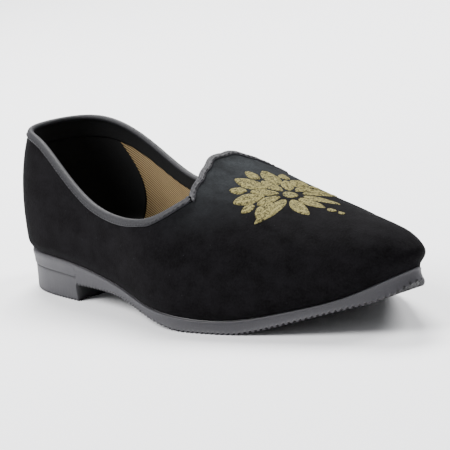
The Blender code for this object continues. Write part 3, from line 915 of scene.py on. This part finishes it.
stations, around = ring_stations(INSOLE_STATIONS)
rise, outset = np.array(INSOLE_EDGE).T
rim = rings(outset, stations)
rim_z = feather(around)[:, None] + GAP + INSOLE_THICK * rise
near_seam = SEAM_IN + SEAM_WIDE * np.array([-2, -1, 0, 1, 2])
shares = np.sort(np.append(np.linspace(0, 1, INSOLE_ROWS + 1)[1:], near_seam))
bed = to_spine(rim[:, -1], shares)
sewn = SEAM_DEEP * np.exp(-(((shares - SEAM_IN) / SEAM_WIDE) ** 2))
bed_z = feather(bed[..., 0]) + GAP + INSOLE_THICK - DISH * (1 - (1 - shares) ** 2) - sewn
on_seam = int(np.argmin(np.abs(shares - SEAM_IN)))
insole_seam = np.concatenate([bed[:, on_seam], bed_z[:, on_seam, None]], axis=1)
under = to_spine(rim[:, 0], UNDER_ROWS)
grid = raised([under, rim, bed], [feather(under[..., 0]) + GAP, rim_z, bed_z])
new_piece(welded(sheet_mesh("sock_insole", grid, closed=True)), SOCK, "insole", "insole")

# %% [markdown]
# ## Grey binding leather
# The raw edge of the opening is covered by a strip of thin grey leather, folded over it and sewn.
# Where the strip goes round a tight bend its outer layer gathers into fine puckers. The mesh stores
# how high each point stands, and the finish reads that: the ridges are paler, partly rubbed wear and
# partly a painted highlight, and the hollows are darker, a painted shade.

# %% Binding finish
PEBBLE = 0.9 * MM

BINDING, tree, shader = start_material("grey_thin_leather_folded", {"IOR": 1.50, "Specular IOR Level": 0.22})
place = add(tree, "TexCoord", out="Object")
stand = add(tree, "Attribute", out="Fac", attribute_name="stand")
pebble_inputs = {"Vector": place, "Scale": 1 / PEBBLE, "Detail": 4.0, "Roughness": 0.65}
pebble = add(tree, "TexNoise", pebble_inputs)
high = add(tree, "Math", {0: stand, 1: pebble}, operation="ADD")
# Paler on the pucker ridges (rubbed wear and painted highlight), darker in the hollows (painted shade).
paler_share = add(tree, "MapRange", {"Value": high, "From Min": 0.45, "From Max": 1.35})
tone = add(tree, "Mix", {0: paler_share, 6: "#131316", 7: "#38373c"}, 2, data_type="RGBA")
dull = add(tree, "MapRange", {"Value": pebble, "To Min": 0.50, "To Max": 0.72})
bump = add(tree, "Bump", {"Height": pebble, "Strength": 0.35, "Distance": 0.2 * MM})
feed(shader, {"Base Color": tone, "Roughness": dull, "Normal": bump})

# %% [markdown]
# ## The folded bindings
# Two strips meet at each throat corner: one round the quarters, one round the tongue. A strip is a
# profile carried along the edge. The profile starts on the suede, goes up the outside, rolls over
# the top and comes a little way down the inside. Its leather is crumpled: slanted waves with a few
# lengths are mixed, two across the strip and two nearly along it, strongest near the corners and on
# the tongue's sides. At its ends a strip is cut off, and stands up a little.

# %% Puckers
# Waves of the puckers: (length along the strip in mm, slant, share)
PUCKERS = [(2.10, -0.25, 0.20), (3.60, 0.55, 0.22), (7.00, 4.60, 0.32), (9.50, -6.20, 0.30)]
PUCKER_SHIFT = 1.7
PUCKER_SWAY = 7 * MM
PUCKER_BEND = 0.6
PUCKER_POWER = 0.8


def bell(away):
    """1 at 0, falling off on both sides as e to minus the square."""
    return np.exp(-(away**2))


def pucker(walk, below, strength):
    """Height of the puckers: slanted waves, each sharpened into a ridge, times the strength there."""
    height = np.zeros(np.broadcast(walk, below).shape)
    for k, (wave_long, slant, part) in enumerate(PUCKERS):
        turn = 2 * np.pi * (walk + slant * below) / (wave_long * MM) + PUCKER_SHIFT * k
        bend = PUCKER_BEND * np.sin(walk / PUCKER_SWAY + k)
        height += part * (1 - np.abs(np.sin(turn / 2 + bend))) ** PUCKER_POWER
    return height * strength


print("pucker at the start of a strip:", round(float(pucker(np.array(0.0), np.array(0.0), 1.0)), 2))

# %% Edge of the opening
BINDING_WIDTH = 3.2 * MM
LEAST_LEAN = 0.6
EDGE_STEP = 0.0001


def unit(rows):
    """Rows of vectors, each divided by its own length."""
    return rows / np.linalg.norm(rows, axis=-1)[..., None]


def edge_frame(places):
    """Lines, lean of each line against the edge, and the edge's own along, climb and outward axes."""
    lines = wall_lines(places)
    edge = lines[:, -1]
    climb = unit(edge - resample(lines, lengths(lines)[:, -1:] - BINDING_WIDTH)[:, 0])
    lean = np.ones(len(places))
    for step in (-EDGE_STEP, EDGE_STEP):
        way = unit(wall_lines(places + step)[:, -1] - edge)
        lean = np.minimum(lean, np.linalg.norm(np.cross(way, climb), axis=1))
    along = unit(np.gradient(edge, axis=0))
    out = unit(np.cross(along, climb))
    return lines, 1 / np.maximum(lean, LEAST_LEAN), along, np.cross(out, along), out


print("way out at the edge's heel back:", np.round(edge_frame(np.array([0.0, 0.01]))[4][0], 2).tolist())

# %% Folded bindings
# Profile: (distance below the edge in mm, distance outside the wall in mm)
PROFILE = [
    (3.25, -0.3), (3.3, 0.2), (3.05, 0.5), (2.5, 0.62), (1.8, 0.6), (1.0, 0.62),
    (0.35, 0.55), (-0.2, 0.28), (-0.58, -0.25), (-0.72, -1.0), (-0.58, -1.75), (-0.22, -2.25),
    (0.25, -2.52), (0.8, -2.62), (1.15, -2.5), (1.2, -2.0),
]
PROFILE_POINTS = 40
PUCKER_HIGH = 0.45 * MM
# Puckers are gone at the first distance inside the wall, and fade out over the second.
PUCKER_INSIDE = 0.9 * MM
PUCKER_FADE = 1.2 * MM
END_LIFT = 0.45 * MM
END_REACH = 1.6 * MM
FRAY = 0.35 * MM
FRAY_WAVE = 0.28 * MM


def strip_points(places, below, out_by, strength, end_lift=0.0, fray=0.0):
    """Points of a strip: down the wall or up past the edge, out by the puckers, with uneven ends."""
    lines, stretch, along, climb, out = edge_frame(places)
    walk = travelled(lines[:, -1])[:, None]
    at = lengths(lines)[:, -1:] - np.maximum(below, 0) * stretch[:, None]
    stand = pucker(walk, below, strength[:, None])
    shown = np.clip((out_by + PUCKER_INSIDE) / PUCKER_FADE, 0, 1)
    near_end = bell(np.minimum(walk, walk[-1] - walk) / END_REACH)
    move = out_by + (stand * PUCKER_HIGH + end_lift * near_end) * shown
    ragged = fray * np.sin(below / FRAY_WAVE) * near_end * np.sign(walk - 0.5 * walk[-1])
    grid = resample(lines, at) + climb[:, None] * np.maximum(-below, 0)[..., None]
    grid = grid + out[:, None] * move[..., None] + along[:, None] * ragged[..., None]
    return grid, stand, out


def binding(name, places, strength, node):
    """A closed strip along the given places, its ends capped, with the puckers kept as an attribute."""
    below, out_by = at_share(np.array(PROFILE) * MM, np.linspace(0, 1, PROFILE_POINTS)).T
    grid, stand, _ = strip_points(places, below[None, :], out_by[None, :], strength, END_LIFT, FRAY)
    index = numbered(grid.shape[:-1])
    caps = [index[0, ::-1].tolist(), index[-1].tolist()]
    new_piece(sheet_mesh(name, grid, tube=True, caps=caps, marks={"stand": stand}), BINDING, "binding", node)


# Each strip: (first place, last place, points, place of its deepest puckers, their reach, least strength,
# strength that the deepest puckers add)
CORNER = THROAT_SHARE / 2
STRIPS = {
    "quarter": (-CORNER + 0.0008, CORNER - 0.0008, 1500, CORNER, 0.035, 0.16, 0.40),
    "tongue": (CORNER + 0.0012, 1 - CORNER - 0.0012, 560, 0.36, 0.055, 0.35, 0.50),
}
laid = {}
for name, (first, last, points, peak, reach, least, more) in STRIPS.items():
    places = np.linspace(first, last, points)
    from_heel = 0.5 - np.abs(0.5 - np.mod(places, 1))
    laid[name] = (places, least + more * bell((from_heel - peak) / reach))
    binding(name + "_binding_strip", *laid[name], name + "_binding")

# %% [markdown]
# ## Stitches
# A row of machine stitches holds each strip, close to its lower edge. Another goes round the insole.
# Each stitch is a short piece of thread that dives into the leather at both ends. A dashed texture
# would stay flat, so one small shape, bent in an arc, is repeated along the path by adding its
# points to every stitch's own axes in one array step.

# %% Thread finish
TWIST = 0.5 * MM

# Polyester thread, two plies twisted: dull and dark, going light and dark again with each turn.
plain = {"Roughness": 0.75, "IOR": 1.58, "Specular IOR Level": 0.2}
THREAD, tree, shader = start_material("grey_polyester_thread_twisted", plain)
place = add(tree, "TexCoord", out="Object")
turns = add(tree, "TexNoise", {"Vector": place, "Scale": 1 / TWIST, "Detail": 2.0})
tone = add(tree, "Mix", {0: turns, 6: "#131315", 7: "#2c2c30"}, 2, data_type="RGBA")
feed(shader, {"Base Color": tone})

# %% Stitches
STITCH_PITCH = 2.6 * MM
STITCH_LONG = 1.9 * MM
STITCH_RADIUS = 0.20 * MM
STITCH_BELOW = 2.55 * MM
STITCH_OUT = 0.62 * MM
STITCH_RISE = 0.12 * MM
STITCH_DIP = 0.42 * MM
STITCH_STEPS = 6
STITCH_ROUND = 6


def stitches(name, path, out, slot):
    """Arched threads along a path: each centre line dips at both ends, with a circle carried round it."""
    along = unit(np.gradient(path, axis=0))
    walk = travelled(path)
    starts = np.arange(STITCH_PITCH, walk[-1] - STITCH_PITCH, STITCH_PITCH)
    t = np.linspace(-1, 1, STITCH_STEPS)
    at = starts[:, None] + 0.5 * STITCH_LONG * t[None, :]
    axes = (path, np.cross(out, along), out)
    spots = [np.stack([np.interp(at, walk, v[:, i]) for i in range(3)], axis=-1) for v in axes]
    line, side, up = (spot[:, :, None] for spot in spots)
    line = line + up * (STITCH_RISE - STITCH_DIP * t**4)[None, :, None, None]
    turn = np.linspace(0, 2 * np.pi, STITCH_ROUND, endpoint=False)[:, None]
    grid = line + STITCH_RADIUS * (side * np.cos(turn) + up * np.sin(turn))
    index = numbered(grid.shape[:-1])
    caps = np.concatenate([index[:, 0], index[:, -1, ::-1]]).tolist()
    new_piece(sheet_mesh(name, grid, tube=True, caps=caps), THREAD, slot)


for name, (places, strength) in laid.items():
    row, _, out = strip_points(places, np.array([[STITCH_BELOW]]), np.array([[STITCH_OUT]]), strength)
    stitches(name + "_stitches", row[:, 0], out, "binding")
stitches("insole_stitches", insole_seam, np.tile([0.0, 0.0, 1.0], (len(insole_seam), 1)), "insole")

# %% [markdown]
# ## The back seam
# The quarters are closed at the heel back, with a row of stitches down each side of the seam. The
# wall lines already run up the heel, so three of them, close together, give the path and the way
# out from the suede.

# %% Back seam
SEAM_AWAY = 0.0046
SEAM_LOW = 3.0 * MM
SEAM_HIGH = 5.0 * MM
SEAM_POINTS = 120

for name, side in (("back_stitches_outer", 1), ("back_stitches_inner", -1)):
    lines = wall_lines(SEAM_AWAY * side + np.array([-EDGE_STEP, 0.0, EDGE_STEP]))
    climb = lengths(lines)[:, -1:] - SEAM_HIGH - SEAM_LOW
    grid = resample(lines, SEAM_LOW + climb * np.linspace(0, 1, SEAM_POINTS)[None, :])
    stitches(name, grid[1], outward(grid, False)[1], "suede")

# %% [markdown]
# ## Gold thread
# The motif is worked in metallised thread: a thin gilt foil wound on a cotton core. It is laid in
# tight rows, so it glitters in grains and not as a sheet. The finish is part metal, with rows of
# thread along each petal's flat map and small cells, each painted lighter or darker: a painted glint,
# brightest on the crests of the rows.

# %% Gold thread finish
ROW_PITCH = 0.62 * MM
STITCH_CELL = 0.62 * MM

plain = {"Metallic": 0.20, "Specular IOR Level": 0.05, "Specular Tint": "#6f683f"}
GOLD, tree, shader = start_material("antique_gold_thread_embroidered", plain)
place = add(tree, "TexCoord", out="Object")
flat = add(tree, "UVMap", uv_map="flat")
# Real rows are near 0.35 mm apart: they are drawn coarser, so that they show.
row_inputs = {"Vector": flat, "Scale": WAVE_TURN / ROW_PITCH, "Distortion": 1.2}
thread_rows = add(tree, "TexWave", row_inputs, "Fac")
crest = add(tree, "MapRange", {"Value": thread_rows, "To Min": 0.55})
# Painted glint: each cell is painted lighter or darker, and lighter on the crests of the rows.
cells = add(tree, "TexVoronoi", {"Vector": place, "Scale": 1 / STITCH_CELL}, "Color")
glint = add(tree, "Math", {0: cells, 1: crest}, operation="MULTIPLY")
bright = add(tree, "MapRange", {"Value": glint, "From Min": 0.12, "From Max": 0.62})
tone = add(tree, "Mix", {0: bright, 6: "#211e13", 7: "#877f53"}, 2, data_type="RGBA")
# Painted shade: each petal's outline and vein, where they sink into the suede, are painted dark.
border = add(tree, "Attribute", out="Fac", attribute_name="border")
edge_painted_shade = add(tree, "MapRange", {"Value": border, "From Min": 0.70, "To Max": 0.9})
gilt = add(tree, "Mix", {0: edge_painted_shade, 6: tone, 7: "#0e0c08"}, 2, data_type="RGBA")
dull = add(tree, "MapRange", {"Value": cells, "To Min": 0.50, "To Max": 0.75})
bump = add(tree, "Bump", {"Height": glint, "Strength": 0.6, "Distance": 0.25 * MM})
feed(shader, {"Base Color": gilt, "Roughness": dull, "Normal": bump})

# %% [markdown]
# ## A drawing on the vamp
# The motif is drawn flat, in distances along the vamp from the tongue and across it. Projecting it
# straight down would stretch it on the sides of the foot. So it is laid over the arch by walking
# those distances on the surface itself: first along the ridge, then sideways.

# %% Lay a drawing on the vamp
# The ridge is walked from a little behind the tongue to a little short of the toe, the arch nearly
# to its widest line.
WALK_BEHIND = 2.5 * MM
WALK_SHORT = 12 * MM
WALK_POINTS = 700
ARCH_REACH = 0.92
ARCH_POINTS = 70
SLOPE_STEP = 0.2 * MM

RIDGE_X = np.linspace(TONGUE_X - WALK_BEHIND, TOE_X - WALK_SHORT, WALK_POINTS)
RIDGE_WALK = travelled(np.stack([RIDGE_X, ridge_y(RIDGE_X), crown(RIDGE_X, ridge_y(RIDGE_X))], axis=1))


def on_vamp(along, across, lift):
    """Walk along the ridge, then sideways over the arch, then off the surface along its normal."""
    x = np.interp(along, RIDGE_WALK, RIDGE_X)
    width = np.where(across < 0, -half_width(x, -1), half_width(x, 1))
    arch_y = ridge_y(x)[:, None] + width[:, None] * np.linspace(0, ARCH_REACH, ARCH_POINTS)
    arch_x = x[:, None] + 0 * arch_y
    arch = np.stack([arch_x, arch_y, crown(arch_x, arch_y)], axis=-1)
    y = resample(arch, np.abs(across)[:, None])[:, 0, 1]
    slope_x = crown(x + SLOPE_STEP, y) - crown(x - SLOPE_STEP, y)
    slope_y = crown(x, y + SLOPE_STEP) - crown(x, y - SLOPE_STEP)
    normal = unit(np.stack([-slope_x, -slope_y, np.full_like(x, 2 * SLOPE_STEP)], axis=-1))
    return np.stack([x, y, crown(x, y)], axis=-1) + normal * lift[:, None]


print("walk from tongue to toe in mm:", round(float(RIDGE_WALK[-1]) / MM))

# %% [markdown]
# ## The lotus
# The motif is a lotus with three rows of petals, curled leaves and a stem of drops, a common pattern
# on such shoes. Each petal is a padded leaf: its edge is sunk in the suede and its middle stands up,
# with a groove for the vein. All leaves have the same grid, so one array holds them all.

# %% Leaf shapes
BLOOM_AT = 51.5
SQUASH = 0.86
LEAF_LONG = 34
LEAF_WIDE = 13
LEAF_HIGH = 0.38
LEAF_SUNK = 0.25
VEIN_WIDE = 0.11
VEIN_DEEP = 0.6
VEIN_END = 0.85
VEIN_FADE = 4
# Powers and slope that round off the padding and draw the dark border
PAD_POWER = 4
PAD_SLOPE = 2.5
BORDER_SIDE = 6
BORDER_END = 12


def leaves(rows):
    """All leaves at once: a centre line that turns steadily, and a width that swells and comes to a point."""
    heading, start, long, wide, widest, bend, point, veined = (column[:, None] for column in rows.T)
    t = np.linspace(0, 1, LEAF_LONG)[None, :]
    first = np.radians(heading)
    angle = np.radians(heading + bend * t)
    step = long / (LEAF_LONG - 1)
    run = np.cumsum(np.stack([-np.cos(angle), np.sin(angle)], axis=-1), axis=1) * step[..., None]
    centre = np.stack([BLOOM_AT - start * np.cos(first), start * np.sin(first)], axis=-1) + run
    swell = np.clip(np.sin(np.pi * t ** (np.log(0.5) / np.log(widest))), 0, 1) ** point
    v = np.linspace(-1, 1, LEAF_WIDE)[None, None, :]
    aside = 0.5 * (wide * swell)[..., None] * v
    flat_side = np.stack([np.sin(angle), np.cos(angle)], axis=-1)
    spot = centre[:, :, None] + flat_side[:, :, None] * aside[..., None]
    padded = (1 - v**PAD_POWER) * np.minimum(1, PAD_SLOPE * swell)[..., None]
    vein_left = np.clip(VEIN_FADE * (VEIN_END - t), 0, 1)[..., None]
    vein = veined[..., None] * bell(v / VEIN_WIDE) * vein_left
    lift = (LEAF_HIGH + LEAF_SUNK) * padded * (1 - VEIN_DEEP * vein) - LEAF_SUNK
    flat = np.stack([np.broadcast_to((long * t)[..., None], lift.shape), aside], axis=-1)
    tips = np.abs(2 * t - 1)[..., None] ** BORDER_END
    border = np.maximum(np.maximum(v**BORDER_SIDE, tips), vein)
    return spot * [MM, SQUASH * MM], lift * MM, flat * MM, border


one_lift = leaves(np.array([[0, 5.0, 16.0, 8.0, 0.5, 0, 0.7, 0]]))[1]
print("points of a leaf:", one_lift.size, "height in mm:", round(float(one_lift.max() / MM), 2))

# %% Lotus motif
# Leaves on one side, with lengths in mm from the middle of the bloom: (heading in degrees from the tongue,
# start, length, width, share of the length at the widest place, bend in degrees, pointedness, vein)
PETALS = [
    (0, 5.0, 16.0, 8.0, 0.52, 0, 0.7, 1), (36, 5.0, 15.6, 7.8, 0.52, 2, 0.7, 1),
    (72, 5.0, 14.4, 7.4, 0.52, 6, 0.7, 1), (18, 12.2, 20.0, 11.0, 0.52, 0, 0.85, 1),
    (54, 12.0, 18.2, 10.6, 0.52, 3, 0.85, 1), (90, 11.4, 15.2, 9.4, 0.52, 8, 0.85, 1),
    (0, 22.4, 11.0, 7.2, 0.45, 0, 0.85, 0), (36, 22.0, 10.0, 7.0, 0.45, 0, 0.85, 0),
    (72, 20.2, 8.8, 6.4, 0.45, 0, 0.85, 0), (110, 5.4, 25.0, 8.6, 0.42, -40, 0.75, 1),
    (146, 5.4, 21.0, 8.2, 0.42, 26, 0.75, 1), (180, 5.2, 19.0, 7.8, 0.42, 0, 0.75, 1),
    (180, 26.0, 6.0, 4.2, 0.45, 0, 0.6, 0), (180, 33.5, 4.6, 3.2, 0.45, 0, 0.6, 0),
    (0, -4.2, 8.4, 8.4, 0.5, 0, 0.5, 0),
]
MIRROR = [-1, 1, 1, 1, 1, -1, 1, 1]

rows = np.array(PETALS, float)
paired = np.mod(rows[:, 0], 180) > 0
rows = np.vstack([rows, rows[paired] * MIRROR])
spot, lift, flat_map, border = leaves(rows)
along, across = spot.reshape(-1, 2).T
grid = on_vamp(along, across, lift.ravel()).reshape(*lift.shape, 3)
mesh = sheet_mesh("gold_lotus", grid, flat=flat_map, marks={"border": border})
new_piece(mesh, GOLD, "gold_thread")
facing_up = np.empty(len(mesh.polygons) * 3, np.float32)
mesh.polygons.foreach_get("normal", facing_up)
print("leaves:", len(rows), "share facing up:", round(float(np.mean(facing_up[2::3] > 0)), 2))

# %% [markdown]
# ## The floor
# The shoe stands on a plain sheet of pale, matt paper. A studio would hang it in a curve behind the
# shoe. The camera looks down far enough to see nothing but floor, so one large square will do.

# %% Floor
PAPER_TOOTH = 1.5 * MM
FLOOR_HALF = 4.0

PAPER, tree, shader = start_material("pale_studio_paper", {"Roughness": 0.8, "IOR": 1.5})
place = add(tree, "TexCoord", out="Object")
tooth = add(tree, "TexNoise", {"Vector": place, "Scale": 1 / PAPER_TOOTH, "Detail": 2.0})
tone = add(tree, "Mix", {0: tooth, 6: "#f4f4f6", 7: "#fafafb"}, 2, data_type="RGBA")
feed(shader, {"Base Color": tone})

mesh = bpy.data.meshes.new("floor")
square = np.array([(-1, -1, 0), (1, -1, 0), (1, 1, 0), (-1, 1, 0)]) * FLOOR_HALF
mesh.from_pydata(square.tolist(), [], [(0, 1, 2, 3)])
mesh.materials.append(PAPER)
floor = put(mesh)
print("floor laid at z = 0")

# %% [markdown]
# ## Light
# The light is a soft studio light. A broad lamp behind the heel draws pale rims on the binding and
# the nap, a weak one behind the toe does the same there, and a large fill on the outer side opens
# up the sole and the lining. A bright surround keeps the shadows soft.

# %% Light
# Each light: (name, place, size across, power in watts)
LIGHTS = [
    ("key", (-0.95, 0.75, 1.70), 1.0, 92.0),
    ("rim", (0.75, 1.15, 1.45), 1.0, 36.0),
    ("fill", (-1.05, -1.20, 1.50), 1.4, 84.0),
]
LIGHT_AIM = (0.0, 0.0, 0.03)
SURROUND = "#f6f7fa"
SURROUND_POWER = 0.48


def facing_axes(spot, aim):
    """Axes for a light or camera at spot looking at aim: its -Z goes to the aim, +Y as near up as can be."""
    back = unit(np.array(spot) - np.array(aim))
    right = unit(np.cross((0.0, 0.0, 1.0), back))
    return np.column_stack([right, np.cross(back, right), back])


def placed(axes, spot):
    """A 4 by 4 matrix from three axes and a place."""
    whole = np.eye(4)
    whole[:3, :3] = axes
    whole[:3, 3] = spot
    return Matrix(whole.tolist())


for name, spot, size, power in LIGHTS:
    lamp = bpy.data.lights.new(name, "AREA")
    lamp.shape = "DISK"
    lamp.size = size
    lamp.energy = power
    put(lamp).matrix_world = placed(facing_axes(spot, LIGHT_AIM), spot)

world = bpy.data.worlds.new("studio")
world.use_nodes = True
feed(world.node_tree.nodes["Background"], {"Color": SURROUND, "Strength": SURROUND_POWER})
bpy.context.scene.world = world
print("lights:", [row[0] for row in LIGHTS])

# %% [markdown]
# ## Camera
# The camera looks at the outer side from ahead, a little from above, and is tilted by a few degrees.
# A long lens keeps the shape free of strong perspective.

# %% Camera
CAMERA_AT = (1.02876, -0.70801, 0.29639)
CAMERA_AIM = (0.00398, 0.00505, 0.03604)
CAMERA_ROLL = np.radians(-9.13)
CAMERA_LENS = 213.1
SENSOR = 36.0
FAR = 20.0

lens = bpy.data.cameras.new("studio_camera")
lens.sensor_width = SENSOR
lens.lens = CAMERA_LENS
lens.clip_end = FAR
right, up, back = facing_axes(CAMERA_AT, CAMERA_AIM).T
turned_right = right * np.cos(CAMERA_ROLL) + up * np.sin(CAMERA_ROLL)
turned_up = up * np.cos(CAMERA_ROLL) - right * np.sin(CAMERA_ROLL)
camera = put(lens)
camera.matrix_world = placed(np.column_stack([turned_right, turned_up, back]), CAMERA_AT)
bpy.context.scene.camera = camera
print("camera", np.round(CAMERA_AT, 3).tolist(), "lens", CAMERA_LENS, "mm")
